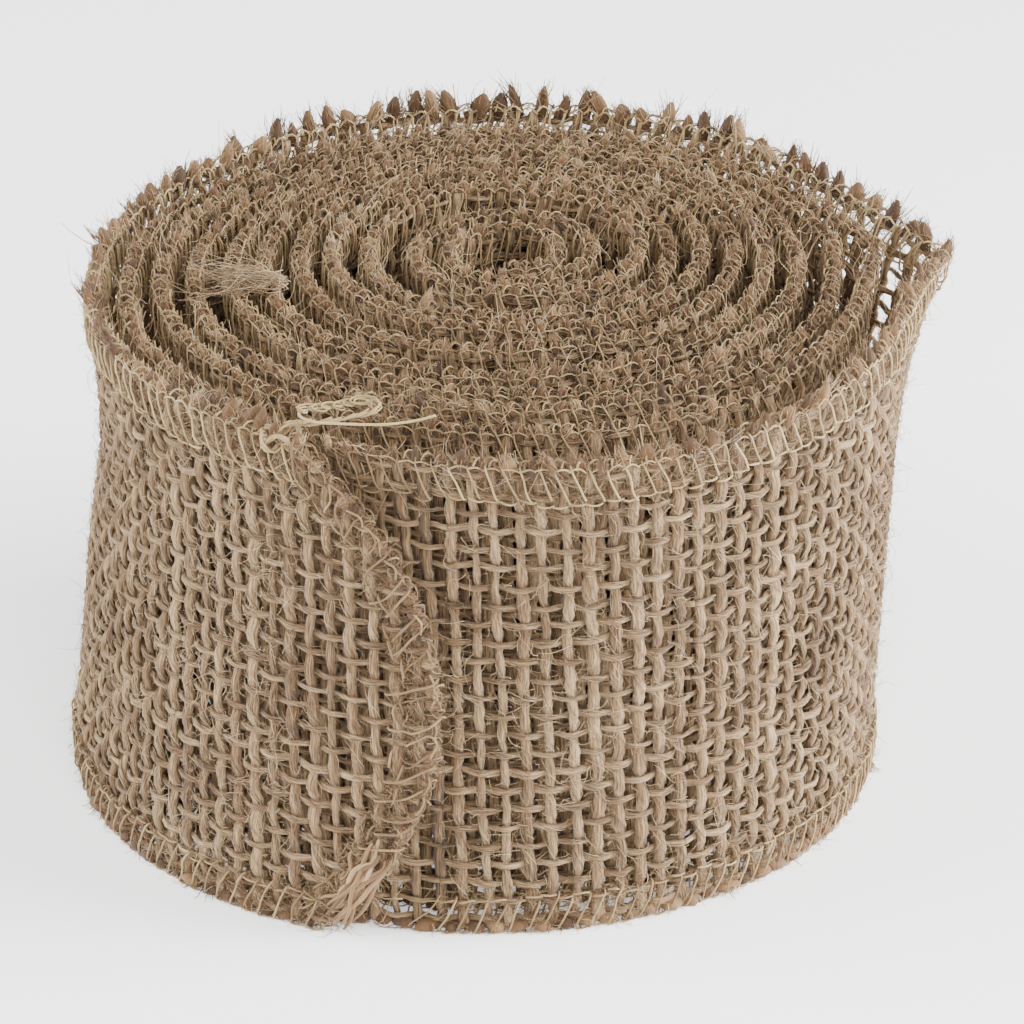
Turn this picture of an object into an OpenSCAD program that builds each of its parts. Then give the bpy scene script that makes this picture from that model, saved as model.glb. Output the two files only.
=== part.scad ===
// A coreless roll of woven ribbon standing on its edge. The strip is overlocked with thread
// along both long edges and across its free end, and it winds outwards anticlockwise.
// All lengths are millimetres. The roll stands on z = 0.

/* [Ribbon] */
// Width of the ribbon, which is the height of the roll
ribbon_w = 60; // [40:1:80]
// Thickness of the woven strip
strip_t = 1.3; // [0.8:0.1:1.6]
// Thickness of the strip where the overlock threads cover both faces
edge_t = 2.4; // [1.8:0.1:2.9]
// Depth of the overlock band along each edge
edge_h = 4; // [2:0.5:6]
// Raw edge that shows beyond the overlock band
raw_edge = 0.3; // [0.2:0.1:1]

/* [Roll] */
// Distance from the middle of the coil to the strip's inner end
core_r = 4.4; // [4:0.2:7]
// Step outwards over each of the first two turns
core_step = 3.9; // [3.2:0.1:5]
// Step outwards behind the second turn, which leaves an open ring round the core
gap_step = 6.7; // [4:0.1:8]
// Step outwards over every later turn, at the front of the roll
front_step = 4.95; // [3.2:0.05:6]
// Gap between one edging and the next at the back of the roll, where the turns crowd
crowd_gap = 0.35; // [0.3:0.05:1.5]
// Number of turns
turns = 11; // [10:1:13]
// How far the pinched fold stands out of the round on the outermost turn
fold_out = 7; // [3:0.5:9]
// Bend radius at the pinched fold
fold_r = 2; // [1.6:0.1:4]

/* [Free end] */
// Length of each hinged length of the free end
tail_l = 22; // [18:0.5:27]
// How far the end's top corner is cut back from its tip
end_top_back = 16.5; // [12:0.5:18]
// How far the end's bottom corner is cut back from its tip
end_low_back = 12.5; // [9:0.5:16]
// Diameter of the loose chain of edging thread
chain_d = 0.6; // [0.4:0.1:0.8]
// Diameter of the knot at the foot of the chain
knot_d = 2.2; // [1.6:0.1:2.4]

/* [Hidden] */
back_step = edge_t + crowd_gap; // step outwards at the back of the roll
outer_turns = 3; // turns that stay with the outside when the inner turns are pushed out
tail_parts = 5; // hinged lengths of the free end
end_dir = 262; // direction of the strip's tip, seen from the roll's axis
fold_dir = 12; // direction of the pinched fold
fold_share = 0.45; // each turn's fold, as a share of the fold of the turn outside it
end_tip_z = 0.55 * ribbon_w; // height of the strip's tip
big = 4 * turns * front_step; // larger than the roll
knot_h = 1.6;
chain_sides = 8;
facet_a = 3; // angle of one flat on the turns that have a fold
strip_colour = "tan";
thread_colour = "wheat";
$fn = 120;

function turn_node(k, part) = str("turn_", k < 10 ? "0" : "", k, "_", part);
function tail_node(k, part) = str("tail_", k, "_", part);

// Plan angles are measured from the strip's tip, and distances from the middle of the coil. Turn
// k starts at front_x(k) on the +X side, crosses the -X side at back_x(k), and ends where the
// next turn starts. It is two half rings, so its first and second halves have their own centres.
function front_x(k) = k == 1 ? core_r : front_x(k - 1) + (k <= 3 ? core_step : front_step);
function back_x(k) = k == 1 ? core_r + core_step / 2
    : back_x(k - 1) + (k == 2 ? core_step : k == 3 ? gap_step : back_step);
function first_r(k) = (front_x(k) + back_x(k)) / 2;
function first_x(k) = (front_x(k) - back_x(k)) / 2;
function second_r(k) = (front_x(k + 1) + back_x(k)) / 2;
function second_x(k) = (front_x(k + 1) - back_x(k)) / 2;
function fold_reach(k) = k > turns - outer_turns ? fold_out * pow(fold_share, turns - k) : 0;
function ray(r, a) = r * [cos(a), sin(a)];

fold_a = fold_dir - end_dir + 360;
tail_r = second_r(turns);
tail_x = second_x(turns);
tail_a = tail_l / tail_r * 180 / PI; // angle of one hinged length
tail_from = 360 - tail_parts * tail_a;

// The roll is turned so that its tip points to end_dir, and shifted so that its footprint is
// centred on the origin.
round_r = tail_r + edge_t / 2;
fold_c = ray(first_x(turns), end_dir) + ray(first_r(turns) + fold_out - fold_r, fold_dir);
tail_c = ray(tail_x, end_dir);
foot_x = (fold_c[0] + fold_r + edge_t / 2 + tail_c[0] - round_r) / 2;
foot_y = ((tail_x + round_r) * sin(end_dir) + tail_c[1] + round_r) / 2;

// The end's outline is the circle through its top corner, its tip and its bottom corner, in a
// plane with its first coordinate along the strip and zero at the tip.
function circle_centre(a, b, c) =
    let (d = 2 * (a[0] * (b[1] - c[1]) + b[0] * (c[1] - a[1]) + c[0] * (a[1] - b[1])),
         x = (a * a) * (b[1] - c[1]) + (b * b) * (c[1] - a[1]) + (c * c) * (a[1] - b[1]),
         y = (a * a) * (c[0] - b[0]) + (b * b) * (a[0] - c[0]) + (c * c) * (b[0] - a[0]))
    [x / d, y / d];
end_c = circle_centre([-end_top_back, ribbon_w], [0, end_tip_z], [-end_low_back, 0]);
end_r = norm([0, end_tip_z] - end_c);

// The knot stands on the top corner of the end, in the middle of its edging.
knot_a = 360 - (end_top_back + edge_h * 0.6) / tail_r * 180 / PI;
knot_xy = ray(tail_r, knot_a + end_dir) + tail_c - [foot_x, foot_y];
// The chain's route from the top of the knot: out to a fold, back, and away along the rim
chain_route = [
    [0, 0, 0], [0.1, 0, 0.5], [0.9, 0.1, 0.8], [2.2, 0.3, 0.7], [4, 0.7, 0.7], [6, 1.2, 0.8],
    [8, 1.8, 0.9], [9.6, 2.4, 1], [10.5, 3.1, 1.2], [10.5, 4, 1.3], [9.6, 4.6, 1.3],
    [8.2, 4.4, 1.3], [6.6, 3.9, 1.3], [5, 3.3, 1.4], [3.5, 2.7, 1.5], [2.3, 1.9, 1.6],
    [2, 0.9, 1.7], [2.6, -0.1, 1.7], [4, -0.6, 1.5], [6, -0.5, 1.3], [8.4, -0.3, 1.1],
    [10.8, 0, 0.9], [13.2, 0.4, 0.9], [15.4, 0.8, 1.1], [17.2, 1.3, 1.4]
];

// ---- Plan outlines, before the roll is turned and shifted ----
// Each one covers the strip from in_d to out_d, measured outwards from its middle line.

// A wedge from the axis, between two angles less than 180 degrees apart
module wedge(from_a, to_a) {
    mid_a = (from_a + to_a) / 2;
    polygon([[0, 0], ray(big, from_a), ray(big, mid_a), ray(big, to_a)]);
}

// A ring of middle radius r
module ring_plan(r, in_d, out_d) {
    difference() {
        circle(r + out_d);
        circle(r + in_d);
    }
}

// A half ring that starts at the given angle
module half_plan(r, in_d, out_d, from_a) {
    rotate(from_a) intersection() {
        translate([-big, 0]) square([2 * big, big]);
        ring_plan(r, in_d, out_d);
    }
}

// Points round an arc, with its first point left out on request so that arcs can be chained
function arc_points(centre, r, from_a, to_a, skip = 0) =
    let (n = ceil((to_a - from_a) / facet_a))
    [for (i = [skip:n]) centre + ray(r, from_a + (to_a - from_a) * i / n)];

// The line of a turn with a rounded corner pulled out of it in the direction fold_a. A straight
// wall joins the round to each side of the corner. d is the distance outside the middle line.
function folded_line(k, d) =
    let (r = first_r(k),
         centre = [first_x(k), 0],
         along = r + fold_reach(k) - fold_r,
         spread = acos((r - fold_r) / along))
    concat(
        arc_points(centre, r + d, 0, fold_a - spread),
        arc_points(centre + ray(along, fold_a), fold_r + d, fold_a - spread, fold_a + spread),
        arc_points(centre, r + d, fold_a + spread, 180),
        arc_points([second_x(k), 0], second_r(k) + d, 180, k == turns ? tail_from : 360, 1)
    );
function reversed(list) = [for (i = [len(list) - 1:-1:0]) list[i]];

// Plan of turn k. The outermost turn stops where the hinged free end begins.
module turn_plan(k, in_d, out_d) {
    if (fold_reach(k) > 0) polygon(concat(folded_line(k, out_d), reversed(folded_line(k, in_d))));
    else {
        translate([first_x(k), 0]) half_plan(first_r(k), in_d, out_d, 0);
        translate([second_x(k), 0]) half_plan(second_r(k), in_d, out_d, 180);
    }
}

// Plan of hinged length k of the free end
module tail_plan(k, in_d, out_d) {
    translate([tail_x, 0]) intersection() {
        wedge(tail_from + (k - 1) * tail_a, tail_from + k * tail_a);
        ring_plan(tail_r, in_d, out_d);
    }
}

// ---- Solids ----

// Turns and shifts the roll to its final place
module placed() {
    translate([-foot_x, -foot_y, 0]) rotate(end_dir) children();
}

module turn_strip(k) {
    color(strip_colour) placed() linear_extrude(ribbon_w) turn_plan(k, -strip_t / 2, strip_t / 2);
}

// The two thread bands on the faces of turn k, from height z up
module turn_edging(k, z) {
    color(thread_colour) placed() translate([0, 0, z]) linear_extrude(edge_h) {
        turn_plan(k, strip_t / 2, edge_t / 2);
        turn_plan(k, -edge_t / 2, -strip_t / 2);
    }
}

// A disc of the end's outline, cut back by the given depth, that runs through the strip
module end_disc(cut_back) {
    translate([tail_x + tail_r, 0, 0]) rotate([90, 0, 90]) translate([end_c[0], end_c[1], 0])
        cylinder(r = end_r - cut_back, h = tail_r, center = true);
}

module tail_strip(k) {
    color(strip_colour) placed() {
        if (k < tail_parts) linear_extrude(ribbon_w) tail_plan(k, -strip_t / 2, strip_t / 2);
        else intersection() {
            linear_extrude(ribbon_w) tail_plan(k, -strip_t / 2, strip_t / 2);
            end_disc(0);
        }
    }
}

module tail_edging(k, z) {
    color(thread_colour) placed() translate([0, 0, z]) linear_extrude(edge_h) {
        tail_plan(k, strip_t / 2, edge_t / 2);
        tail_plan(k, -edge_t / 2, -strip_t / 2);
    }
}

// The overlock on the last hinged length, which runs on round the strip's free end
module end_edging() {
    inner_z = raw_edge + edge_h;
    color(thread_colour) placed() difference() {
        intersection() {
            translate([0, 0, raw_edge]) linear_extrude(ribbon_w - 2 * raw_edge) {
                tail_plan(tail_parts, strip_t / 2, edge_t / 2);
                tail_plan(tail_parts, -edge_t / 2, -strip_t / 2);
            }
            end_disc(raw_edge);
        }
        intersection() {
            end_disc(inner_z);
            translate([-big, -big, inner_z]) cube([2 * big, 2 * big, ribbon_w - 2 * inner_z]);
        }
    }
}

module chain_knot() {
    color(thread_colour) translate([knot_xy[0], knot_xy[1], ribbon_w])
        cylinder(d = knot_d, h = knot_h, $fn = 32);
}

// A tube along the route, with its first ring flat on the knot
module chain_tail() {
    n = len(chain_route);
    base = [knot_xy[0], knot_xy[1], ribbon_w + knot_h];
    way = [for (i = [0:n - 1]) chain_route[min(i + 1, n - 1)] - chain_route[max(i - 1, 0)]];
    ahead = [for (i = [0:n - 1]) i == 0 ? [0, 0, 1] : way[i] / norm(way[i])];
    side = [for (a = ahead) let (s = cross(a, [0.3, -1, 0.2])) s / norm(s)];
    rings = [for (i = [0:n - 1]) for (j = [0:chain_sides - 1])
        let (turn = j * 360 / chain_sides)
        base + chain_route[i]
            + chain_d / 2 * (cos(turn) * side[i] + sin(turn) * cross(ahead[i], side[i]))];
    walls = [for (i = [0:n - 2]) for (j = [0:chain_sides - 1])
        let (a = i * chain_sides + j, b = i * chain_sides + (j + 1) % chain_sides)
        [a, a + chain_sides, b + chain_sides, b]];
    first_cap = [for (j = [0:chain_sides - 1]) j];
    last_cap = [for (j = [chain_sides - 1:-1:0]) (n - 1) * chain_sides + j];
    color(thread_colour) polyhedron(rings, concat([first_cap, last_cap], walls));
}

top_z = ribbon_w - raw_edge - edge_h;
for (k = [1:turns]) {
    turn_strip(k);
    turn_edging(k, top_z);
    turn_edging(k, raw_edge);
}
for (k = [1:tail_parts]) {
    tail_strip(k);
}
for (k = [1:tail_parts - 1]) {
    tail_edging(k, top_z);
    tail_edging(k, raw_edge);
}
end_edging();
chain_knot();
chain_tail();
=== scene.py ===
"""A standing roll of burlap ribbon, with its weave, overlocked edges and fraying built yarn by yarn.

The ribbon is worked out flat first: s runs along the strip from its inner end, v is the height above its
low edge and n the distance outwards from its middle. place() then winds that flat cloth into the roll.
All lengths are millimetres in the row frame, and build() turns them into metres.
"""
import math

import bpy
import numpy as np
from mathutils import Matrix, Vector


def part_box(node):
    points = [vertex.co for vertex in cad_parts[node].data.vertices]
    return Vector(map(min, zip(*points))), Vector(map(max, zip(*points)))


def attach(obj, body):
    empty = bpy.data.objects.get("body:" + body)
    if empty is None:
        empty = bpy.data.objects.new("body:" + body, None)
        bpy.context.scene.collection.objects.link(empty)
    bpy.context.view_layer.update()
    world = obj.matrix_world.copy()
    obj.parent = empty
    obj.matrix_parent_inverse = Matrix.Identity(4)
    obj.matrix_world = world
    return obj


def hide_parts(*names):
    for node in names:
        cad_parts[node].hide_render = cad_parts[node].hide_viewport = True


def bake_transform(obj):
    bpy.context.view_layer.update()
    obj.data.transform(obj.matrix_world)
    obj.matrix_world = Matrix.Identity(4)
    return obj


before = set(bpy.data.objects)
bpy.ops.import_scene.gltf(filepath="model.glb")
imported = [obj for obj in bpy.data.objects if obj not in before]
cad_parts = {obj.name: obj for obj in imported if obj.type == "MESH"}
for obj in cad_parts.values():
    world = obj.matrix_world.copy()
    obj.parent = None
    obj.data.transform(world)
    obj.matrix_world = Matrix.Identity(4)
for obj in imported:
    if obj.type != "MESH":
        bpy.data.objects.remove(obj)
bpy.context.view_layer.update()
MM = 0.001
rng = np.random.default_rng(11)

# ---- The strip and the roll, with the CAD's driving dimensions ----
RIBBON_W = 60
STRIP_T = 1.3
TURNS = 11
OUTER_TURNS = 3  # the outermost turns, which are one body and have the pulled-out corner
CORE_R = 4.4
CORE_STEP = 3.9  # from turn to turn next to the core
GAP_STEP = 6.7  # across the wider ring round the core, away from the tip
FRONT_STEP = 4.95  # from turn to turn on the tip's side
BACK_STEP = 2.75  # and away from the tip
FOLD_OUT = 7  # how far the outermost turn's corner is pulled out
FOLD_R = 2
FOLD_SHARE = 0.45  # the pull on each turn, as a share of the pull on the turn outside it
END_DIR = math.radians(262)  # the direction of the strip's tip from the roll's middle
FOLD_A = math.radians(12 - 262 + 360)  # the corner's direction, on from the tip's
TAIL_L = 22  # one hinged length of the free end
TAIL_PARTS = 5
END_TOP_BACK = 16.5  # how far the cut end's top corner lies behind its tip
END_LOW_BACK = 12.5  # and its low corner
END_TIP_Z = 33

# ---- The cloth ----
WEFT_PITCH = 2.6
WARP_PITCH = 2.4
WARPS = round(RIBBON_W / WARP_PITCH)
STITCH = 1.9
SKEW = 0.055  # the wefts lean, so their low ends lie this much further along for each mm of height
LIFT = 0.35  # the low edge stands this far up, on its frayed ends
SQUEEZE = 0.994  # the cloth's height in the roll, as a share of its width
LOWEST_Z = 0.12  # no yarn's middle line is lower than this
FLOOR_GAP = 0.01  # and no point of any yarn is lower than this

# ---- How the roll strays from an even spiral ----
ROLL_R = 48  # the radius at which the waist, foot and tuck below are given
DROOP = 0.36  # how far the pulled-out corner's rim sinks, as a share of how far it stands out
SWELL = 3.0  # how far the turn under the free end swells out to meet it
SWELL_TURNS = 5  # the turns that swell there
SWELL_SHARE = 0.78  # how far each one swells, as a share of the turn outside it
SWELL_FOOT = 9  # the height over which the inner ones swell more at their foot
END_OUT = 0.6  # the free end stands this much further out
WAIST, WAIST_V, WAIST_SPAN = 1.9, 43, 15  # the left side draws in at this height
FOOT, FOOT_V, FOOT_SPAN = 0.9, 4, 9  # and stands out at its foot
TUCK = 2.0  # the right side draws in towards its foot
LEAN_X, LEAN_Y = -1.4, 0.3  # where the foot lies from the rim
BACK_RISE, END_RISE = 1.3, 0.8  # how far the outermost rim rises at the back and at the free end


def front_x(k):
    """Where turn k starts, from the coil's middle towards the strip's tip."""
    return CORE_R + sum(CORE_STEP if i <= 3 else FRONT_STEP for i in range(2, k + 1))


def back_x(k):
    """Where turn k crosses the side away from the tip."""
    steps = {2: CORE_STEP, 3: GAP_STEP}
    return CORE_R + CORE_STEP / 2 + sum(steps.get(i, BACK_STEP) for i in range(2, k + 1))


def coil_middle():
    """The coil's middle in plan, found from the box of a turn that has no fold."""
    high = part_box("turn_08_strip")[1] / MM
    first_sum, first_gap = front_x(8) + back_x(8), front_x(8) - back_x(8)
    second_sum, second_gap = front_x(9) + back_x(8), front_x(9) - back_x(8)
    return np.array([
        high.x - (first_sum + STRIP_T + first_gap * math.cos(END_DIR)) / 2,
        high.y - (second_sum + STRIP_T + second_gap * math.sin(END_DIR)) / 2,
    ])


def smooth(x):
    x = np.clip(x, 0, 1)
    return x * x * (3 - 2 * x)


def unit(vectors):
    return vectors / np.maximum(np.linalg.norm(vectors, axis=-1, keepdims=True), 1e-12)


NOISE = rng.uniform(-1, 1, 8192)


def drift(x, seed=0):
    """Smooth noise from -1 to 1 that changes over a distance of 1."""
    x = np.asarray(x, float) + 37.17 * np.asarray(seed, float)
    i = np.floor(x).astype(int)
    t = smooth(x - i)
    return NOISE[i % len(NOISE)] * (1 - t) + NOISE[(i + 1) % len(NOISE)] * t


# ---- The wound surface ----
TURN_STEPS = 720
SPARE_STEPS = 40  # steps that the surface runs on past both ends of the strip
LOW_V, HIGH_V = -4, 66


def folded_radius(r, reach, off):
    """Distance to a turn of radius r, at the angle off from its corner that is pulled out by reach."""
    off = np.abs((off + np.pi) % (2 * np.pi) - np.pi)
    along = r + reach - FOLD_R
    spread = np.arccos(np.clip((r - FOLD_R) / along, -1, 1))
    corner = np.arctan2(FOLD_R * np.sin(spread), along + FOLD_R * np.cos(spread))
    rounded = along * np.cos(off) + np.sqrt(np.maximum(FOLD_R**2 - (along * np.sin(off))**2, 0))
    walls = r / np.cos(np.minimum(np.abs(spread - off), 1))
    return np.where(off < corner, rounded, np.where(off < spread, walls, r))


def wound_surface():
    """Points of the cloth's middle surface, on a grid of turns and heights."""
    u = np.arange(-SPARE_STEPS, TURNS * TURN_STEPS + SPARE_STEPS + 1) / TURN_STEPS
    v = np.arange(LOW_V, HIGH_V + 1, dtype=float)
    k = np.clip(np.floor(u).astype(int) + 1, 1, TURNS)
    phi = (u - k + 1) * 2 * np.pi
    fronts = np.array([0] + [front_x(i) for i in range(1, TURNS + 2)])
    backs = np.array([0] + [back_x(i) for i in range(1, TURNS + 1)])
    first = phi < np.pi
    start = np.where(first, fronts[k], fronts[np.minimum(k + 1, TURNS + 1)])
    r = ((start + backs[k]) / 2)[:, None]
    shift = ((start - backs[k]) / 2)[:, None]
    turn = phi[:, None]

    share = np.clip(v / RIBBON_W, 0, 1.02)
    reach = np.where(k > TURNS - OUTER_TURNS, FOLD_OUT * FOLD_SHARE**(TURNS - k), 0.0)
    reach = np.where(first, reach, 0)[:, None] * share**2.2
    radius = folded_radius(r, reach, turn - FOLD_A)
    droop = DROOP * (radius - r) * share  # the pulled-out corner leans over, so its rim is lower

    # each turn strays a little on its own, as far as the gap beside it allows
    room = (0.08 + 0.92 * (0.5 + 0.5 * np.cos(turn))**1.3) * np.where(k > 3, 0.95, 0.45)[:, None]
    way = u[:, None]
    radius = radius + room * (
        0.55 * drift(way * 5.3, 1) + 0.35 * drift(way * 13, 2)
        + (share - 0.5) * 1.1 * drift(way * 6.1, 3)
    )
    # the turns below the free end swell out to meet it, the outermost ones most
    for depth in range(1, SWELL_TURNS + 1):
        before = way - TURNS + depth
        swell = smooth((before + 0.27) / 0.25) * (1 - smooth((before - 0.1) / 0.25))
        fill = SWELL_SHARE**(depth - 1)
        if depth > 1:
            fill = fill * (1 - 0.85 * np.clip(share, 0, 1)**1.5)
            fill = fill + (0.5 - 0.1 * depth) * np.exp(-v / SWELL_FOOT)
        radius = radius + SWELL * fill * swell
    radius = radius + END_OUT * smooth((way - TURNS + 0.2) / 0.2)

    angle = turn + END_DIR
    x = radius * np.cos(angle) + shift * math.cos(END_DIR)
    y = radius * np.sin(angle) + shift * math.sin(END_DIR)
    z = LIFT + v[None, :] * SQUEEZE - droop

    # the whole roll leans and has a waist on its left, so every turn moves alike
    out = np.hypot(x, y) / ROLL_R
    side = np.arctan2(y, x)
    left = np.cos((side - math.pi) / 2)**6
    right = np.cos(side / 2)**6
    waist = 1 - WAIST * out * left * np.exp(-((v - WAIST_V) / WAIST_SPAN)**2) / ROLL_R
    foot = 1 + FOOT * out * left * np.exp(-((v - FOOT_V) / FOOT_SPAN)**2) / ROLL_R
    foot = foot - TUCK * out * right * (1 - share) / ROLL_R
    x, y = x * waist * foot, y * waist * foot
    x = x + LEAN_X * (1 - share)
    y = y + LEAN_Y * (1 - share)

    # rims stand unevenly, and the outermost one rises at the back and at the free end
    wave = 0.55 * drift(way * 7, 4) + 0.35 * drift(way * 17, 5)
    wave = wave + BACK_RISE * np.exp(-((way - TURNS + 0.5) / 0.13)**2)
    wave = wave + END_RISE * np.exp(-((way - TURNS + 0.09) / 0.05)**2)
    z = z + wave * share**3
    middle = coil_middle()
    return np.stack([x + middle[0], y + middle[1], z], axis=-1)


SURFACE = wound_surface()
OUTWARD = unit(np.cross(np.gradient(SURFACE, axis=0), np.gradient(SURFACE, axis=1)))
MID_LINE = SURFACE[:, RIBBON_W // 2 - LOW_V]
STEPS = np.linalg.norm(np.diff(MID_LINE, axis=0), axis=1)
ALONG = np.concatenate([[0], np.cumsum(STEPS)])
ALONG = ALONG - ALONG[SPARE_STEPS]
TIP_S = ALONG[SPARE_STEPS + TURNS * TURN_STEPS]


def s_at(turn):
    """Distance along the strip at a turn count from its inner end."""
    return np.interp(turn * TURN_STEPS + SPARE_STEPS, np.arange(len(ALONG)), ALONG)


def lookup(table, s, v):
    """Values of a grid of turns and heights at points of the flat cloth."""
    a = np.interp(s, ALONG, np.arange(len(ALONG)))
    i = np.clip(np.floor(a).astype(int), 0, table.shape[0] - 2)
    j = np.clip(np.floor(v).astype(int) - LOW_V, 0, table.shape[1] - 2)
    fa = (a - i)[..., None]
    fb = (np.asarray(v, float) - LOW_V - j)[..., None]
    near = table[i, j] * (1 - fb) + table[i, j + 1] * fb
    far = table[i + 1, j] * (1 - fb) + table[i + 1, j + 1] * fb
    return near * (1 - fa) + far * fa


def place(s, v, n):
    """Points of the roll for points of the flat cloth."""
    s, v, n = np.broadcast_arrays(s, v, n)
    points = lookup(SURFACE, s, v) + n[..., None] * unit(lookup(OUTWARD, s, v))
    points[..., 2] = np.maximum(points[..., 2], LOWEST_Z)
    return points


def outward(s, v):
    s, v = np.broadcast_arrays(s, v)
    return unit(lookup(OUTWARD, s, v))


# ---- Tubes and meshes ----
FROM_MEAN = 1.57  # about 1 over the mean size of a cosine


def carried(ahead):
    """A direction across each tube, carried along it without twisting."""
    across = np.empty_like(ahead)
    seed = np.where(np.abs(ahead[:, 0, 2:]) < 0.8, [[0.0, 0.0, 1.0]], [[1.0, 0.0, 0.0]])
    across[:, 0] = unit(np.cross(ahead[:, 0], seed))
    for m in range(1, ahead.shape[1]):
        last = across[:, m - 1]
        flat = np.sum(last * ahead[:, m], axis=-1, keepdims=True)
        across[:, m] = unit(last - flat * ahead[:, m])
    return across


def tubes(route, wide, thick, sides, tint, normal=None, ridges=None):
    """A batch of closed tubes along routes of shape (tubes, rings, 3), with half sizes and tint."""
    ahead = unit(np.gradient(route, axis=1))
    normal = carried(ahead) if normal is None else normal
    side = unit(np.cross(ahead, normal))
    up = np.cross(side, ahead)
    turn = 2 * np.pi * np.arange(sides) / sides
    shape = 1.0 if ridges is None else ridges
    full = route.shape[:2]
    wide = np.broadcast_to(wide, full)[..., None] * np.cos(turn) * shape
    thick = np.broadcast_to(thick, full)[..., None] * np.sin(turn) * shape
    points = (
        route[:, :, None] + wide[..., None] * side[:, :, None] + thick[..., None] * up[:, :, None]
    )
    points[..., 2] = np.maximum(points[..., 2], FLOOR_GAP)
    steps = np.linalg.norm(np.diff(route, axis=1), axis=-1)
    return {
        "points": points,
        "tint": np.broadcast_to(tint, full),
        "way": np.concatenate([np.zeros((len(route), 1)), np.cumsum(steps, axis=1)], axis=1),
        "girth": float(np.mean(np.abs(wide)) + np.mean(np.abs(thick))) * math.pi * FROM_MEAN,
    }


def batch_faces(count, rings, sides):
    """Corner indices and (ring, side) steps of a batch's walls and end caps."""
    ring, side = np.meshgrid(np.arange(rings - 1), np.arange(sides), indexing="ij")
    ring, side = ring.ravel(), side.ravel()
    rings_of = np.stack([ring, ring + 1, ring + 1, ring], axis=1)
    sides_of = np.stack([side, side, side + 1, side + 1], axis=1)
    first = np.arange(sides)
    caps_ring = np.array([[0] * sides, [rings - 1] * sides])
    caps_side = np.array([first, first[::-1]])
    tube = np.arange(count)[:, None, None] * rings * sides
    walls = tube + rings_of * sides + sides_of % sides
    caps = tube + caps_ring * sides + caps_side
    return walls, caps, (rings_of, sides_of), (caps_ring, caps_side)


def cell_grid(batch):
    """Columns and rows of cells for one batch's tubes, roughly in proportion, and their surface."""
    count = len(batch["points"])
    length = float(batch["way"][:, -1].mean())
    columns = max(1, round(math.sqrt(count * batch["girth"] / max(length, 0.1))))
    return columns, math.ceil(count / columns), count * length * batch["girth"]


def build(name, batches, material):
    """One mesh object from batches of tubes, with its bake and yarn maps."""
    corners, totals, bake, yarn, tint, points = [], [], [], [], [], []
    grids = [cell_grid(b) for b in batches]
    whole = sum(g[2] for g in grids)
    base, floor_v = 0, 0.0
    for batch, (columns, rows, area) in zip(batches, grids):
        count, rings, sides = batch["points"].shape[:3]
        walls, caps, wall_steps, cap_steps = batch_faces(count, rings, sides)
        tube = np.arange(count)
        cell_u = (tube % columns) / columns
        cell_v = floor_v + (tube // columns) / rows * area / whole
        wide_u, high_v = 0.96 / columns, 0.92 * area / whole / rows
        for faces, (ring, side) in ((walls, wall_steps), (caps, cap_steps)):
            corners.append((base + faces).reshape(-1))
            totals.append(np.full(faces.shape[0] * faces.shape[1], faces.shape[2]))
            u = cell_u[:, None, None] + wide_u * ring[None] / (rings - 1)
            v = cell_v[:, None, None] + high_v * side[None] / sides
            bake.append(np.stack([u, v + 0 * u], axis=-1).reshape(-1))
            way = batch["way"][:, ring]
            round_way = side[None] / sides * batch["girth"] + tube[:, None, None] * 7.3
            yarn.append(np.stack([way, round_way + 0 * way], axis=-1).reshape(-1))
        tint.append(np.repeat(batch["tint"].reshape(-1), sides))
        points.append(batch["points"].reshape(-1, 3))
        base += count * rings * sides
        floor_v += area / whole
    corners, totals = np.concatenate(corners), np.concatenate(totals)
    mesh = bpy.data.meshes.new(name)
    mesh.vertices.add(base)
    mesh.vertices.foreach_set("co", (np.concatenate(points) * MM).astype(np.float32).reshape(-1))
    mesh.loops.add(len(corners))
    mesh.loops.foreach_set("vertex_index", corners.astype(np.int32))
    mesh.polygons.add(len(totals))
    starts = np.concatenate([[0], np.cumsum(totals)[:-1]])
    mesh.polygons.foreach_set("loop_start", starts.astype(np.int32))
    mesh.polygons.foreach_set("use_smooth", np.ones(len(totals), bool))
    mesh.update(calc_edges=True)
    for layer, values in (("OFBake", bake), ("Yarn", yarn)):
        uv = mesh.uv_layers.new(name=layer)
        uv.data.foreach_set("uv", np.concatenate(values).astype(np.float32))
    mesh.uv_layers.active = mesh.uv_layers["OFBake"]
    shade = mesh.attributes.new("tint", "FLOAT", "POINT")
    shade.data.foreach_set("value", np.concatenate(tint).astype(np.float32))
    mesh.materials.append(material)
    piece = bpy.data.objects.new(name, mesh)
    bpy.context.scene.collection.objects.link(piece)
    return piece


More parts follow.
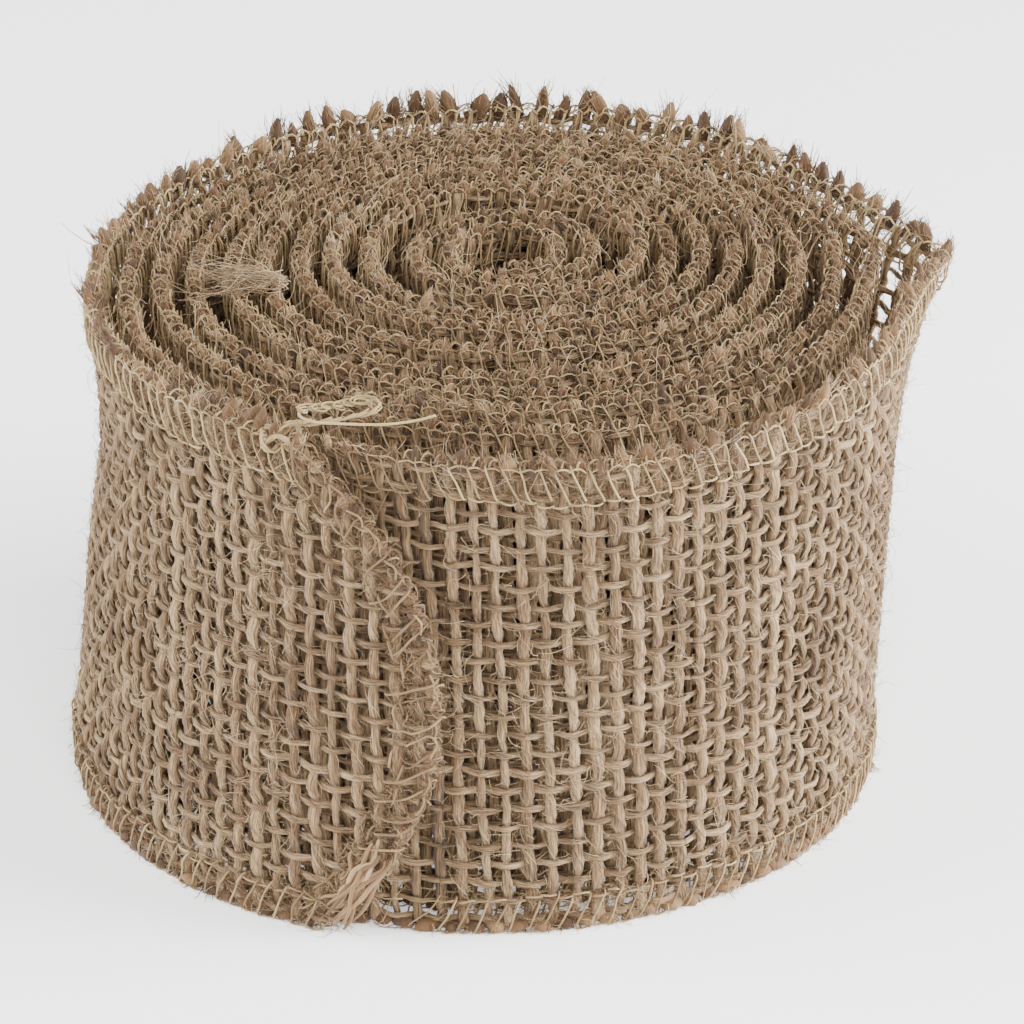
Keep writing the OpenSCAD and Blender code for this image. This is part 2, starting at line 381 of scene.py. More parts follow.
# ---- Materials ----
def fibre_material(name, stops, roughness, streak, relief, patch):
    """Spun fibre: colour from the tint, streaks along the twist, and a relief of fibres."""
    material = bpy.data.materials.new(name)
    material.use_nodes = True
    nodes, links = material.node_tree.nodes, material.node_tree.links
    shader = nodes["Principled BSDF"]
    shader.inputs["Roughness"].default_value = roughness
    shader.inputs["Specular IOR Level"].default_value = 0.25
    shader.inputs["Sheen Weight"].default_value = 0.1
    shader.inputs["Sheen Roughness"].default_value = 0.5

    yarn = nodes.new("ShaderNodeUVMap")
    yarn.uv_map = "Yarn"
    twist = nodes.new("ShaderNodeMapping")
    twist.inputs["Rotation"].default_value = (0, 0, math.radians(24))
    twist.inputs["Scale"].default_value = (0.45, 7.0, 1)
    links.new(yarn.outputs["UV"], twist.inputs["Vector"])
    fibres = nodes.new("ShaderNodeTexNoise")
    fibres.inputs["Scale"].default_value = 1.0
    fibres.inputs["Detail"].default_value = 3
    fibres.inputs["Roughness"].default_value = 0.6
    links.new(twist.outputs["Vector"], fibres.inputs["Vector"])

    place_in = nodes.new("ShaderNodeTexCoord")
    patches = nodes.new("ShaderNodeTexNoise")
    patches.inputs["Scale"].default_value = 90
    patches.inputs["Detail"].default_value = 2
    links.new(place_in.outputs["Object"], patches.inputs["Vector"])

    tint = nodes.new("ShaderNodeAttribute")
    tint.attribute_name = "tint"
    add_streak = nodes.new("ShaderNodeMath")
    add_streak.operation = "MULTIPLY_ADD"
    links.new(fibres.outputs["Fac"], add_streak.inputs[0])
    add_streak.inputs[1].default_value = streak
    links.new(tint.outputs["Fac"], add_streak.inputs[2])
    add_patch = nodes.new("ShaderNodeMath")
    add_patch.operation = "MULTIPLY_ADD"
    links.new(patches.outputs["Fac"], add_patch.inputs[0])
    add_patch.inputs[1].default_value = patch
    links.new(add_streak.outputs[0], add_patch.inputs[2])
    centred = nodes.new("ShaderNodeMath")
    centred.operation = "SUBTRACT"
    centred.inputs[1].default_value = (streak + patch) / 2
    links.new(add_patch.outputs[0], centred.inputs[0])

    colours = nodes.new("ShaderNodeValToRGB")
    ramp = colours.color_ramp
    while len(ramp.elements) < len(stops):
        ramp.elements.new(0.5)
    for element, (at, colour) in zip(ramp.elements, stops):
        element.position = at
        element.color = (*colour, 1)
    links.new(centred.outputs[0], colours.inputs["Fac"])
    links.new(colours.outputs["Color"], shader.inputs["Base Color"])

    bump = nodes.new("ShaderNodeBump")
    bump.inputs["Strength"].default_value = relief
    bump.inputs["Distance"].default_value = 0.4 * MM
    links.new(fibres.outputs["Fac"], bump.inputs["Height"])
    links.new(bump.outputs["Normal"], shader.inputs["Normal"])
    return material


JUTE_STOPS = [
    (0.0, (0.34, 0.236, 0.127)), (0.35, (0.205, 0.127, 0.06)),
    (0.65, (0.122, 0.068, 0.029)), (1.0, (0.04, 0.021, 0.009)),
]
FIBRE_STOPS = [
    (0.0, (0.42, 0.315, 0.185)), (0.3, (0.22, 0.131, 0.06)),
    (0.6, (0.12, 0.062, 0.025)), (1.0, (0.045, 0.022, 0.009)),
]
STRAW_STOPS = [(0.0, (0.44, 0.33, 0.16)), (0.5, (0.27, 0.18, 0.08)), (1.0, (0.14, 0.082, 0.035))]
jute = fibre_material("jute_yarn", JUTE_STOPS, 0.85, streak=2.6, relief=0.9, patch=0.7)
fluff = fibre_material("jute_fibre", FIBRE_STOPS, 0.75, streak=0.6, relief=0.4, patch=0.5)
straw = fibre_material("straw_thread", STRAW_STOPS, 0.6, streak=0.8, relief=0.6, patch=0.3)

# ---- Camera ----
LOOK_AT = np.array([-0.6, 0, 30.2])
ELEVATION = math.radians(27.33)
DISTANCE = 900
LENS = 268.9


def add_camera():
    """The viewpoint: a long lens from the front, a little above the roll."""
    data = bpy.data.cameras.new("camera")
    data.lens = LENS
    data.sensor_width = 36
    data.clip_start = 0.05
    camera = bpy.data.objects.new("camera", data)
    back = np.array([0, -math.cos(ELEVATION), math.sin(ELEVATION)])
    camera.location = (LOOK_AT + DISTANCE * back) * MM
    camera.rotation_euler = (math.pi / 2 - ELEVATION, 0, 0)
    bpy.context.scene.collection.objects.link(camera)
    bpy.context.scene.camera = camera


add_camera()

# ---- The loose chain of thread ----
CHAIN_STOP = 15  # the point of the route where the loops end and one thread goes on
CHAIN_ROUTE = [
    [0, 0, 0], [0.1, 0, 0.5], [0.9, 0.1, 0.8], [2.2, 0.3, 0.7], [4, 0.7, 0.7], [6, 1.2, 0.8],
    [8, 1.8, 0.9], [9.6, 2.4, 1], [10.5, 3.1, 1.2], [10.5, 4, 1.3], [9.6, 4.6, 1.3],
    [8.2, 4.4, 1.3], [6.6, 3.9, 1.3], [5, 3.3, 1.4], [3.5, 2.7, 1.5], [2.3, 1.9, 1.6],
    [2, 0.9, 1.7], [2.6, -0.1, 1.7], [4, -0.6, 1.5], [6, -0.5, 1.3], [8.4, -0.3, 1.1],
    [10.8, 0, 0.9], [13.2, 0.4, 0.9], [15.4, 0.8, 1.1], [17.2, 1.3, 1.4],
]


def eased(points, count):
    """A smooth line through the points, with count points at even distances."""
    p = np.asarray(points, float)
    p = np.concatenate([[2 * p[0] - p[1]], p, [2 * p[-1] - p[-2]]])
    t = np.linspace(0, 1, 8, endpoint=False)[:, None]
    spans = [
        0.5 * (2 * b + (c - a) * t + (2 * a - 5 * b + 4 * c - d) * t**2
               + (3 * b - a - 3 * c + d) * t**3)
        for a, b, c, d in zip(p, p[1:], p[2:], p[3:])
    ]
    line = np.concatenate(spans + [p[-2:-1]])
    way = np.concatenate([[0], np.cumsum(np.linalg.norm(np.diff(line, axis=0), axis=1))])
    even = np.linspace(0, way[-1], count)
    return np.stack([np.interp(even, way, line[:, i]) for i in range(line.shape[1])], axis=1)


def looped(line, pitch, reach, radius, tint, seed):
    """One thread that runs along a line in loose open loops, as in a crocheted chain."""
    way = np.concatenate([[0], np.cumsum(np.linalg.norm(np.diff(line, axis=0), axis=1))])
    count = round(way[-1] / pitch * 14)
    t = np.linspace(0, way[-1], count)
    a = 2 * np.pi * t / pitch + 1.2 * drift(t / 2.7, seed)
    size = 1 + 0.45 * drift(t / 1.9, seed + 1)
    at = np.clip(t + 0.62 * pitch * size * np.sin(a), 0, way[-1])
    point = np.stack([np.interp(at, way, line[:, i]) for i in range(3)], axis=1)
    ahead = unit(np.gradient(line, axis=0))
    across = unit(np.cross(ahead, [[0.0, 0.0, 1.0]]))
    across = np.stack([np.interp(at, way, across[:, i]) for i in range(3)], axis=1)
    point = point + (reach * size * np.cos(a))[:, None] * across
    point[:, 2] += 0.2 + reach * 0.5 * np.sin(a + 0.7) + 0.25 * drift(t / 1.3, seed + 2)
    return tubes(point[None], radius, radius, 6, tint)


knot_low, knot_high = (np.array(corner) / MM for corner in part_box("chain_knot"))
knot_top = np.array([*(knot_low + knot_high)[:2] / 2, knot_high[2]])
chain_line = eased(knot_top + np.array(CHAIN_ROUTE), 170)
chain_stop = knot_top + np.array(CHAIN_ROUTE[CHAIN_STOP])
bend = np.linalg.norm(chain_line - chain_stop, axis=1).argmin()
chain_body, last_thread = chain_line[:bend + 3], chain_line[bend - 2:]
chain = build("thread_chain", [
    looped(chain_body, 1.5, 0.42, 0.11, 0.25, 1), looped(chain_body, 2.3, 0.6, 0.115, 0.4, 7),
    tubes(chain_body[None], 0.14, 0.14, 6, 0.3), tubes(last_thread[None], 0.17, 0.17, 6, 0.15),
], straw)
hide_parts("chain_tail")
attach(chain, "tail_5")


# ---- The weave ----
def end_s(v):
    """Where the strip stops at each height, as its cut end is an arc."""
    return TIP_S + END_C[0] + np.sqrt(np.maximum(END_R**2 - (v - END_C[1])**2, 0))


def arc_through(a, b, c):
    """Centre and radius of the circle through three points."""
    rows = np.array([[2 * (b - a)[0], 2 * (b - a)[1]], [2 * (c - a)[0], 2 * (c - a)[1]]])
    centre = np.linalg.solve(rows, np.array([b @ b - a @ a, c @ c - a @ a]))
    return centre, float(np.linalg.norm(b - centre))


END_C, END_R = arc_through(
    np.array([-END_TOP_BACK, RIBBON_W], float),
    np.array([0, END_TIP_Z], float),
    np.array([-END_LOW_BACK, 0], float),
)


def skew(v):
    return SKEW * (RIBBON_W / 2 - v)


def weft_line(number, v):
    """Where weft number runs at height v: its s, n and size."""
    s = (number + 0.5) * WEFT_PITCH + skew(v)
    s = s + 0.26 * drift(v / 9, number) + 0.12 * drift(v / 2.4, number + 0.3)
    n = 0.28 * np.cos(np.pi * (v / WARP_PITCH - 0.5)) * (1 - 2 * (number % 2))
    size = 1 + 0.28 * drift(number * 1.7, 8) + 0.22 * drift(v / 3.2, number + 0.6)
    return s, n, size


def warp_line(number, s):
    """Where warp number runs at s: its v, n and size."""
    v = (number + 0.5) * WARP_PITCH + 0.22 * drift(s / 11, number + 50)
    v = v + 0.14 * drift(s / 2.6, number + 70)
    n = -0.4 * np.cos(np.pi * ((s - skew(v)) / WEFT_PITCH - 0.5)) * (1 - 2 * (number % 2))
    size = 1 + 0.22 * drift(number * 1.9, 12) + 0.26 * drift(s / 3.4, number + 90)
    return v, n, size


WEFT_HALF = (0.6, 0.36)
WARP_HALF = (0.34, 0.28)
INSET = 0.3


def weft_reach(number, at_end):
    """The lowest and highest point of each weft, and which wefts are there, as the cut end is an arc."""
    low = np.full(number.shape, INSET)
    high = np.full(number.shape, RIBBON_W - INSET)
    if not at_end:
        return number, low, high
    heights = np.linspace(INSET, RIBBON_W - INSET, 400)
    s = (number[:, None] + 0.5) * WEFT_PITCH + skew(heights)
    inside = s < end_s(heights) - INSET
    low = heights[inside.argmax(axis=1)]
    high = heights[len(heights) - 1 - inside[:, ::-1].argmax(axis=1)]
    kept = inside.sum(axis=1) > 20
    return number[kept], low[kept], high[kept]


def lobes(way, number, sides, twist):
    """How far each side of a spun yarn stands out: three twisting lobes and some unevenness."""
    side = np.arange(sides)
    turn = 2 * np.pi * side / sides
    way, number = way[..., None], number[..., None]
    uneven = 0.12 * drift(way / 1.2, number * 8.3 + side)
    return 1 + uneven + 0.11 * np.cos(3 * (turn - twist * way) + number)


def weave(first, last, detail, at_end):
    """The wefts, numbered first to last, and the stretch of every warp that crosses them."""
    rings, sides = (6, 8) if detail else (4, 4)
    number, low, high = (x[:, None] for x in weft_reach(np.arange(first, last), at_end))
    v = low + (high - low) * np.linspace(0, 1, WARPS * rings + 1)[None]
    s, n, size = weft_line(number, v)
    tint = 0.45 + 0.2 * drift(number * 1.3, 9) + 0.16 * drift(v / 7, number + 0.9)
    wefts = tubes(
        place(s, v, n), WEFT_HALF[0] * size, WEFT_HALF[1] * np.sqrt(size), sides, tint,
        outward(s, v), lobes(v, number, sides, 1.3),
    )
    number = np.arange(WARPS)[:, None]
    start, stop = first * WEFT_PITCH, last * WEFT_PITCH
    stops = np.minimum(stop, end_s((number + 0.5) * WARP_PITCH) - INSET) if at_end else stop
    s = start + (stops - start) * np.linspace(0, 1, (last - first) * rings + 1)[None]
    v, n, size = warp_line(number, s)
    tint = 0.45 + 0.18 * drift(number * 1.6, 13) + 0.18 * drift(s / 8, number + 30)
    warps = tubes(
        place(s, v, n), WARP_HALF[0] * size, WARP_HALF[1] * np.sqrt(size), sides, tint,
        outward(s, v), lobes(s, number + 0 * s, sides, 1.6),
    )
    return [wefts, warps]


def wrap(line, number, start, length, half, twist):
    """Fibres that lie on the yarns and wind round them, with their far ends loose."""
    share = np.linspace(0, 1, 7)[None]
    way = start + length * share
    across, n, size = line(number, way)
    angle = rng.uniform(0, 2 * np.pi, number.shape) + twist * (way - start)
    lift = 1.04 + rng.choice([0, 0.2, 0.7, 1.8], number.shape) * share**2
    across = across + half[0] * size * lift * np.cos(angle)
    n = n + half[1] * np.sqrt(size) * lift * np.sin(angle)
    return way, across, n, 0.05 * (1.1 - 0.7 * share)


def yarn_fibres(first, last, density, lowest, at_end):
    """Fibres on the yarns' surfaces, density to a millimetre of yarn, above the height lowest."""
    number, low, high = weft_reach(np.arange(first, last), at_end)
    low = np.maximum(low, lowest)
    count = round(density * (RIBBON_W - lowest))
    number, low, high = (np.repeat(x, count)[:, None] for x in (number, low, high))
    length = rng.uniform(2.5, 7, number.shape)
    start = low + (high - low - length) * rng.uniform(0, 1, number.shape)
    v, s, n, thin = wrap(weft_line, number, start, length, WEFT_HALF, 0.75)
    tint = 0.35 + 0.28 * rng.normal(0, 1, number.shape)
    v = np.clip(v, low, high)
    on_wefts = tubes(place(s, v, n), thin, thin, 3, tint)

    lowest_warp = math.ceil(lowest / WARP_PITCH)
    count = round(density * (last - first) * WEFT_PITCH)
    number = np.repeat(np.arange(lowest_warp, WARPS), count)[:, None]
    length = rng.uniform(2.5, 7, number.shape)
    start, stop = first * WEFT_PITCH, last * WEFT_PITCH
    stop = np.minimum(stop, end_s((number + 0.5) * WARP_PITCH) - INSET) if at_end else stop
    start = start + (stop - start - length) * rng.uniform(0, 1, number.shape)
    s, v, n, thin = wrap(warp_line, number, start, length, WARP_HALF, 0.9)
    tint = 0.35 + 0.28 * rng.normal(0, 1, number.shape)
    on_warps = tubes(place(s, v, n), thin, thin, 3, tint)
    return [on_wefts, on_warps]


# ---- The overlock ----
THREAD_R, INNER_THREAD_R = 0.13, 0.1
# one stitch of each thread: how far along in stitches, depth below the rim, and distance outwards
FACE_LOOP = [
    [0, -0.45, 0.2], [0.06, -0.1, 0.85], [0.3, 1.1, 1.1], [0.6, 2.6, 1.12], [0.88, 3.9, 1.0],
    [0.96, 4.2, 0.6], [0.98, 4.2, 0.1],
]
REAR_LOOP = [
    [0.1, -0.3, -0.5], [0.2, 0.5, -0.95], [0.5, 2.4, -1.1], [0.8, 4.2, -1.0], [0.95, 4.7, -0.9],
    [1.1, 4.2, -1.0], [1.12, 2.3, -1.1], [1.1, 0.5, -0.98], [1.1, -0.3, -0.5],
]
RIM_LOOP = [
    [0, 0.1, 0.8], [0.25, -0.2, 0.95], [0.5, -0.32, 0.85], [0.75, -0.2, 0.75], [1, 0.1, 0.8],
]
RIM_REAR = [
    [0, 0.1, -0.75], [0.3, -0.5, -0.95], [0.55, -0.6, -0.8], [0.8, -0.3, -0.75], [1, 0.1, -0.75],
]
CROSS_LOOP = [[0.3, -0.2, 0.85], [0.4, -0.75, 0.3], [0.6, -0.75, -0.3], [0.7, -0.2, -0.85]]
SEAM = [[0, 4.0, 0.7], [0.3, 4.05, 0.98], [0.7, 4.05, 0.98], [1, 4.0, 0.7]]
REAR_SEAM = [[0, 4.1, -0.75], [0.3, 4.1, -0.95], [0.7, 4.1, -0.95], [1, 4.1, -0.75]]


def top_edge(along, depth):
    return along, RIBBON_W - depth


def low_edge(along, depth):
    return along, depth


def cut_edge(along, depth):
    """The cut end: along runs down its arc from the top corner."""
    top = math.asin((RIBBON_W - END_C[1]) / END_R)
    angle = top - along / END_R
    return (
        TIP_S + END_C[0] + (END_R - depth) * np.cos(angle),
        END_C[1] + (END_R - depth) * np.sin(angle),
    )


CUT_LENGTH = END_R * (
    math.asin((RIBBON_W - END_C[1]) / END_R) + math.asin(END_C[1] / END_R)
)


def overlock(edge, start, stop, detail, pitch=STITCH, shade=0.4, loose=1.0):
    """The overlock's threads along one edge. A higher loose makes them less even."""
    count = max(1, round((stop - start) / pitch))
    step = (stop - start) / count
    number = np.arange(count)
    batches = []
    for row, (loop, rings, share) in enumerate((
        (FACE_LOOP, 14, 1.0), (REAR_LOOP, 18, 1.0), (RIM_LOOP, 8, 0.95), (RIM_REAR, 8, 0.95),
        (CROSS_LOOP, 6, 0.9), (SEAM, 6, 1.0), (REAR_SEAM, 5, 1.0),
    )):
        rings = rings if detail else max(5, round(rings * 0.6))
        line = eased(loop, rings)[None]
        seed = number[:, None] + start * 0.77 + 200 * row
        jitter = drift(line[..., 1] / 2.5, seed)
        along = start + (number[:, None] + line[..., 0] + 0.16 * loose * jitter) * step
        depth = line[..., 1] * (1 + 0.12 * loose * drift(seed * 1.9, 3))
        depth = depth + 0.2 * drift(along / 1.3, seed)
        n = line[..., 2] * (1 + 0.16 * loose * drift(seed * 2.3, 5))
        n = n + 0.1 * loose * drift(depth / 0.9, seed)
        s, v = edge(along, depth)
        tint = shade + 0.35 * drift(seed * 1.3, 7) + 0 * along
        radius = (THREAD_R if detail else INNER_THREAD_R) * share
        radius = radius * (1 + 0.2 * drift(along / 0.8, seed + 0.5))
        batches.append(tubes(place(s, v, n), radius, radius, 5 if detail else 4, tint))
    return batches


# ---- Fraying ----
LOWEST_V = -0.7  # how far the fraying reaches below the low edge


def strands(edge, along, depth, n, lengths, lean, curl, thin, tint, rings=4):
    """Fibres from points on the cloth. lean is their direction: along, outwards over the edge, and n."""
    share = np.linspace(0, 1, rings)[None, None]
    count = len(along)
    phase = rng.uniform(0, 2 * np.pi, (count, 3, 1))
    waves = rng.uniform(0.3, 1.1, (count, 3, 1)) * 2 * np.pi
    bend = curl * (np.sin(waves * share + phase) - np.sin(phase))
    route = lengths[:, None, None] * (lean[:, :, None] * share + bend)
    s, v = edge(along[:, None] + route[:, 0], depth[:, None] - route[:, 1])
    radius = thin * (1 - 0.65 * share[0])
    points = place(s, np.maximum(v, LOWEST_V), n[:, None] + route[:, 2])
    return tubes(points, radius, radius, 3, tint)


def tufts(edge, places, height, per_tuft, size=1.0):
    """Brushed-out yarn ends beyond the overlock, one at each place: some spread, some pointed."""
    count = len(places)
    tall = height * rng.uniform(0.65, 1.3, count)
    lean = np.stack([rng.normal(0, 0.22, count), rng.normal(0, 0.3, count)], axis=1)
    spread = rng.uniform(-0.55, 0.5, count)
    shade = 0.5 + 0.2 * rng.normal(0, 1, count)
    share = np.linspace(0, 1, 5)[None]
    rise = -1.0 + (0.92 * tall[:, None] + 1.0) * share
    a = places[:, None] + lean[:, :1] * share * tall[:, None]
    out = lean[:, 1:] * share * tall[:, None]
    s, v = edge(a, -rise)
    v = np.maximum(v, LOWEST_V)
    wide = size * np.array([[0.6, 0.8, 0.85, 0.65, 0.22]]) * (1 + 0.6 * spread[:, None] * share)
    ridges = 1 + rng.uniform(-0.3, 0.3, (count, 1, 8))
    # the cores are darker than their fibres: partly the cut ends' own brown, partly painted shade in the
    # crevices between the rims
    tint = shade[:, None] + 0.25 + 0 * share
    lumps = tubes(place(s, v, out), wide, wide * 0.85, 8, tint, outward(s, v), ridges)
    tall, spread, shade = (np.repeat(x, per_tuft) for x in (tall, spread, shade))
    lean, places = np.repeat(lean, per_tuft, axis=0), np.repeat(places, per_tuft)
    off = size * rng.normal(0, 0.32, (len(places), 2))
    direction = np.stack([
        lean[:, 0] + spread * off[:, 0] * 1.6,
        np.ones(len(places)),
        lean[:, 1] + spread * off[:, 1] * 1.6,
    ], axis=1) + rng.normal(0, 0.12, (len(places), 3))
    lengths = (tall + 0.8) * rng.uniform(0.7, 1.08, len(places))
    tint = (shade + 0.22 * rng.normal(0, 1, len(places)))[:, None]
    depth = np.full(len(places), 0.8)
    roots = places + off[:, 0]
    return [lumps, strands(edge, roots, depth, off[:, 1], lengths, direction, 0.05, 0.09, tint)]


def stray_hairs(edge, start, stop, deepest, count, faces, longest=5.5, shade=0.05):
    """Fine fibres that lie on the cloth or stand off it, on the faces named by 1 and -1."""
    along = rng.uniform(start, stop, count)
    depth = rng.uniform(-0.8, deepest, count)
    side = rng.choice(faces, count)
    direction = unit(np.stack([
        rng.normal(0, 1, count), rng.normal(0, 0.8, count), side * rng.uniform(-0.1, 0.4, count)
    ], axis=1))
    lengths = longest * rng.uniform(0.25, 1, count)**1.5
    tint = shade + 0.18 * rng.normal(0, 1, (count, 1))
    n = side * rng.uniform(-0.2, 0.8, count)
    return strands(edge, along, depth, n, lengths, direction, 0.12, 0.042, tint, rings=6)


# ---- One section of the strip, with all that is on it ----
TUFT, BACK_TUFT = 1.7, 1.1  # height on the outermost rim, and how much more there is at its back
BACK_TUFT_SPAN = 45
INNER_TUFT, LOW_TUFT, END_TUFT = 1.05, 0.7, 0.5  # height on the inner rims and the other edges


def rim_tufts(places, detail):
    """The tufts on the top rim, which stand tallest at the back of the outermost turn."""
    if not detail:
        return tufts(top_edge, places, INNER_TUFT, per_tuft=26, size=0.62)
    back = np.exp(-((places - s_at(TURNS - 0.47)) / BACK_TUFT_SPAN)**2)
    return tufts(top_edge, places, TUFT + BACK_TUFT * back, per_tuft=36)


def section(name, first, last, detail=False, at_end=False):
    """The weave, overlock and fraying between two weft numbers."""
    start, stop = first * WEFT_PITCH, last * WEFT_PITCH
    length = stop - start
    top_stop = min(stop, TIP_S - END_TOP_BACK) if at_end else stop
    low_stop = min(stop, TIP_S - END_LOW_BACK) if at_end else stop
    cloth = build(f"{name}_weave", weave(first, last, detail, at_end), jute)

    # the inner turns' threads are the same thread as the outermost turn's, painted darker as painted
    # shade on the rims between the turns
    threads = overlock(top_edge, start, top_stop, detail, shade=0.4 if detail else 0.75)
    low_pitch = STITCH if detail else 2 * STITCH
    threads += overlock(low_edge, start, low_stop, detail, pitch=low_pitch, shade=0.6)
    places = (np.arange(first, last) + 0.5) * WEFT_PITCH
    fibres = rim_tufts(places[places < top_stop], detail)
    low_places = places[places < low_stop]
    fibres += tufts(low_edge, low_places, LOW_TUFT, per_tuft=20 if detail else 6, size=1.6)
    density, lowest = (1.15, 0) if detail else (0.3, 50)
    fibres += yarn_fibres(first, last, density, lowest, at_end)

    def add_hairs(edge, end, deepest, per_mm, faces, longest, shade=0.05):
        count = round(length * per_mm)
        fibres.append(stray_hairs(edge, start, end, deepest, count, faces, longest, shade))

    if detail:
        add_hairs(top_edge, top_stop, RIBBON_W, 30, [1, 1, -1], 4)
        add_hairs(low_edge, low_stop, 4.5, 24, [1], 2.8, 0.45)
    add_hairs(top_edge, top_stop, 4, 2, [1, -1], 6)
    add_hairs(top_edge, top_stop, 4, 26 if detail else 5, [1, 1, -1], 2.8, 0.45)
    on_cloth = [build(f"{name}_fray", fibres, fluff)]
    if at_end:
        threads += overlock(cut_edge, 0, CUT_LENGTH, detail, pitch=2.6, shade=0.9, loose=3.0)
        end_fibres = tufts(cut_edge, np.arange(1, CUT_LENGTH - 1, 1.7), END_TUFT, per_tuft=36)
        end_fibres.append(stray_hairs(cut_edge, 0, CUT_LENGTH, 4.5, 2200, [1, 1, 1, -1], 3, 0.45))
        on_cloth.append(build(f"{name}_end_fray", end_fibres, fluff))
    on_cloth.insert(0, build(f"{name}_overlock", threads, straw))

    return [cloth, *on_cloth]


def weft_at(s):
    return round(s / WEFT_PITCH)


def row_point(s, v=RIBBON_W / 2):
    return tuple(float(c) * MM for c in place(np.array(s), np.array(v), np.array(0.0)))


def add_floor():
    """A plain pale floor for the roll to stand on."""
    half = 3.0
    mesh = bpy.data.meshes.new("floor")
    corners = [(-half, -half, 0), (half, -half, 0), (half, half, 0), (-half, half, 0)]
    mesh.from_pydata(corners, [], [(0, 1, 2, 3)])
    material = bpy.data.materials.new("pale_floor")
    material.use_nodes = True
    shader = material.node_tree.nodes["Principled BSDF"]
    shader.inputs["Base Color"].default_value = (0.9, 0.9, 0.9, 1)
    shader.inputs["Roughness"].default_value = 0.9
    shader.inputs["Emission Color"].default_value = (1, 1, 1, 1)
    shader.inputs["Emission Strength"].default_value = 0.5
    mesh.materials.append(material)
    piece = bpy.data.objects.new("floor", mesh)
    bpy.context.scene.collection.objects.link(piece)
    return piece


floor = add_floor()

for k in range(1, TURNS):
    name = f"turn_{k:02d}"
    body = name if k <= TURNS - OUTER_TURNS else "outer_roll"
    outer_body = f"turn_{k + 1:02d}" if k < TURNS - OUTER_TURNS else "outer_roll"
    start, back, end = s_at(k - 1), s_at(k - 0.5), s_at(k)
    half_a = section(f"{name}_a", weft_at(start), weft_at(back))
    half_b = section(f"{name}_b", weft_at(back), weft_at(end))
    for piece in half_a:
        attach(piece, body)
    for piece in half_b:
        if body == outer_body:
            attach(piece, body)
        else:
            row_point(back)
            row_point(end)
            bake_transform(piece)
    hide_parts(f"{name}_strip")
    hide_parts(f"{name}_top_edging", f"{name}_low_edging")

# the outermost turn, up to the middle of the stretch before the first hinge
hinges = [TIP_S - TAIL_L * (TAIL_PARTS - i) for i in range(TAIL_PARTS)]
outer_start, outer_stop = weft_at(s_at(TURNS - 1)), weft_at(hinges[0] - TAIL_L / 2)
cuts = np.linspace(outer_start, outer_stop, 7).round().astype(int)
for part, (first, last) in enumerate(zip(cuts, cuts[1:])):
    pieces = section(f"turn_{TURNS}_{'abcdef'[part]}", first, last, detail=True)
    for piece in pieces:
        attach(piece, "outer_roll")
    if part == 0:
        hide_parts(f"turn_{TURNS}_strip")
        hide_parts(f"turn_{TURNS}_top_edging", f"turn_{TURNS}_low_edging")

# the free end: one length across each hinge, reaching half a length to both sides of it
for i, hinge in enumerate(hinges):
    last_one = i == TAIL_PARTS - 1
    first = weft_at(hinge - TAIL_L / 2)
    last = weft_at(TIP_S) if last_one else weft_at(hinge + TAIL_L / 2)
    pieces = section(f"tail_{i + 1}", first, last, detail=True, at_end=last_one)
    reach = 0.35 * TAIL_L
    for piece in pieces:
        row_point(hinge - reach)
        row_point(hinge + reach)
        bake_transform(piece)
    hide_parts(f"tail_{i + 1}_strip")
    if last_one:
        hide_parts("end_edging")
    else:
        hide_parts(f"tail_{i + 1}_top_edging", f"tail_{i + 1}_low_edging")


# ---- A loose wisp on the rims, and the frayed bundle at the low corner of the cut end ----
def add_wisp():
    """A tuft of pale fibre combed flat over the rims on the left."""
    count = 110
    turn = 6.81
    s = s_at(turn) + rng.normal(0, 0.9, count)
    direction = np.stack([
        rng.normal(-0.15, 0.16, count), rng.normal(0.12, 0.09, count), rng.normal(1, 0.12, count)
    ], axis=1)
    lengths = rng.uniform(4, 10, count)
    tint = 0.28 + 0.2 * rng.normal(0, 1, (count, 1))
    depth = rng.uniform(-1.9, -0.6, count)
    n = rng.uniform(-6, -2.5, count)
    fibres = strands(top_edge, s, depth, n, lengths, direction, 0.11, 0.06, tint, rings=8)
    wisp = build("rim_wisp", [fibres], fluff)
    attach(wisp, "turn_07")


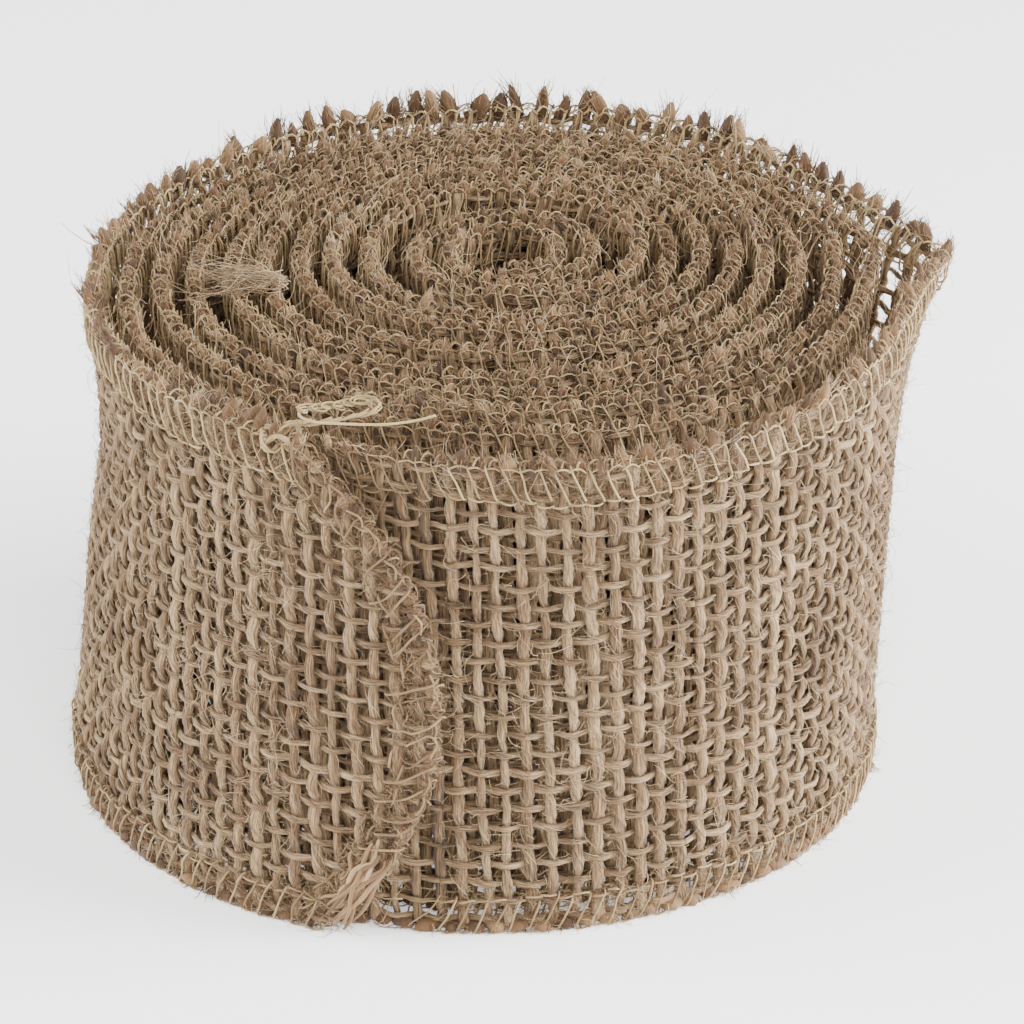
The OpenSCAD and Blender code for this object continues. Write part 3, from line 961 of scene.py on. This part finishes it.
def add_bundle():
    """Warp ends that the overlock folded back into a loose bundle."""
    count = 16
    share = np.linspace(0, 1, 30)[None]
    side = rng.normal(0, 1, (count, 1))
    reach = rng.uniform(7, 12, (count, 1)) * (1 - share)**0.9
    along = CUT_LENGTH - 3 - reach + 0.5 * drift(share * 3, side * 9)
    depth = 2.2 + 0.9 * side + 1.1 * drift(share * 2.2, side * 5) - 1.5 * share
    n = 1.3 + 0.5 * rng.uniform(-1, 1, (count, 1)) + 0.35 * drift(share * 4, side * 7)
    s, v = cut_edge(along, depth)
    thin = 0.3 * (0.5 + share * (1 - share) * 2.4)
    tint = 0.4 + 0.2 * rng.normal(0, 1, (count, 1))
    yarns = tubes(place(s, v, n), thin, thin * 0.8, 6, tint)
    ends = stray_hairs(cut_edge, CUT_LENGTH - 14, CUT_LENGTH - 1, 4, 500, [1], 4, 0.25)
    bundle = build("end_bundle", [yarns, ends], fluff)
    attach(bundle, "tail_5")


add_wisp()
add_bundle()


# ---- The knot at the chain's foot ----
def add_knot():
    """A tangle of thread loops."""
    centre = (knot_low + knot_high) / 2
    t = np.linspace(0, 2 * np.pi, 90)
    routes = []
    for i in range(6):
        a, b, c = rng.uniform(0, 2 * np.pi, 3)
        loop = np.stack([
            2.2 * np.sin(2 * t + a), 1.5 * np.sin(3 * t + b), 1.0 * np.sin(5 * t + c)
        ], axis=1)
        routes.append(centre + loop)
    loops = tubes(np.stack(routes), 0.14, 0.14, 6, 0.35)
    return build("chain_knot_loops", [loops], straw)


knot = add_knot()
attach(knot, "tail_5")
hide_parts("chain_knot")


# ---- Light ----
def add_light(name, place_mm, size_mm, power):
    data = bpy.data.lights.new(name, "AREA")
    data.size = size_mm * MM
    data.energy = power
    light = bpy.data.objects.new(name, data)
    light.location = np.array(place_mm) * MM
    aim = bpy.data.objects.new(f"{name}_aim", None)
    aim.location = LOOK_AT * MM
    bpy.context.scene.collection.objects.link(light)
    bpy.context.scene.collection.objects.link(aim)
    track = light.constraints.new("TRACK_TO")
    track.target = aim
    track.track_axis = "TRACK_NEGATIVE_Z"
    track.up_axis = "UP_Y"


def add_world():
    world = bpy.data.worlds.new("studio")
    world.use_nodes = True
    back = world.node_tree.nodes["Background"]
    back.inputs["Color"].default_value = (1, 1, 1, 1)
    back.inputs["Strength"].default_value = 1.0
    bpy.context.scene.world = world


add_world()
add_light("key", (100, -620, 450), 400, 6)
add_light("fill", (650, -60, 260), 500, 25)
add_light("side", (-650, -60, 260), 500, 12)
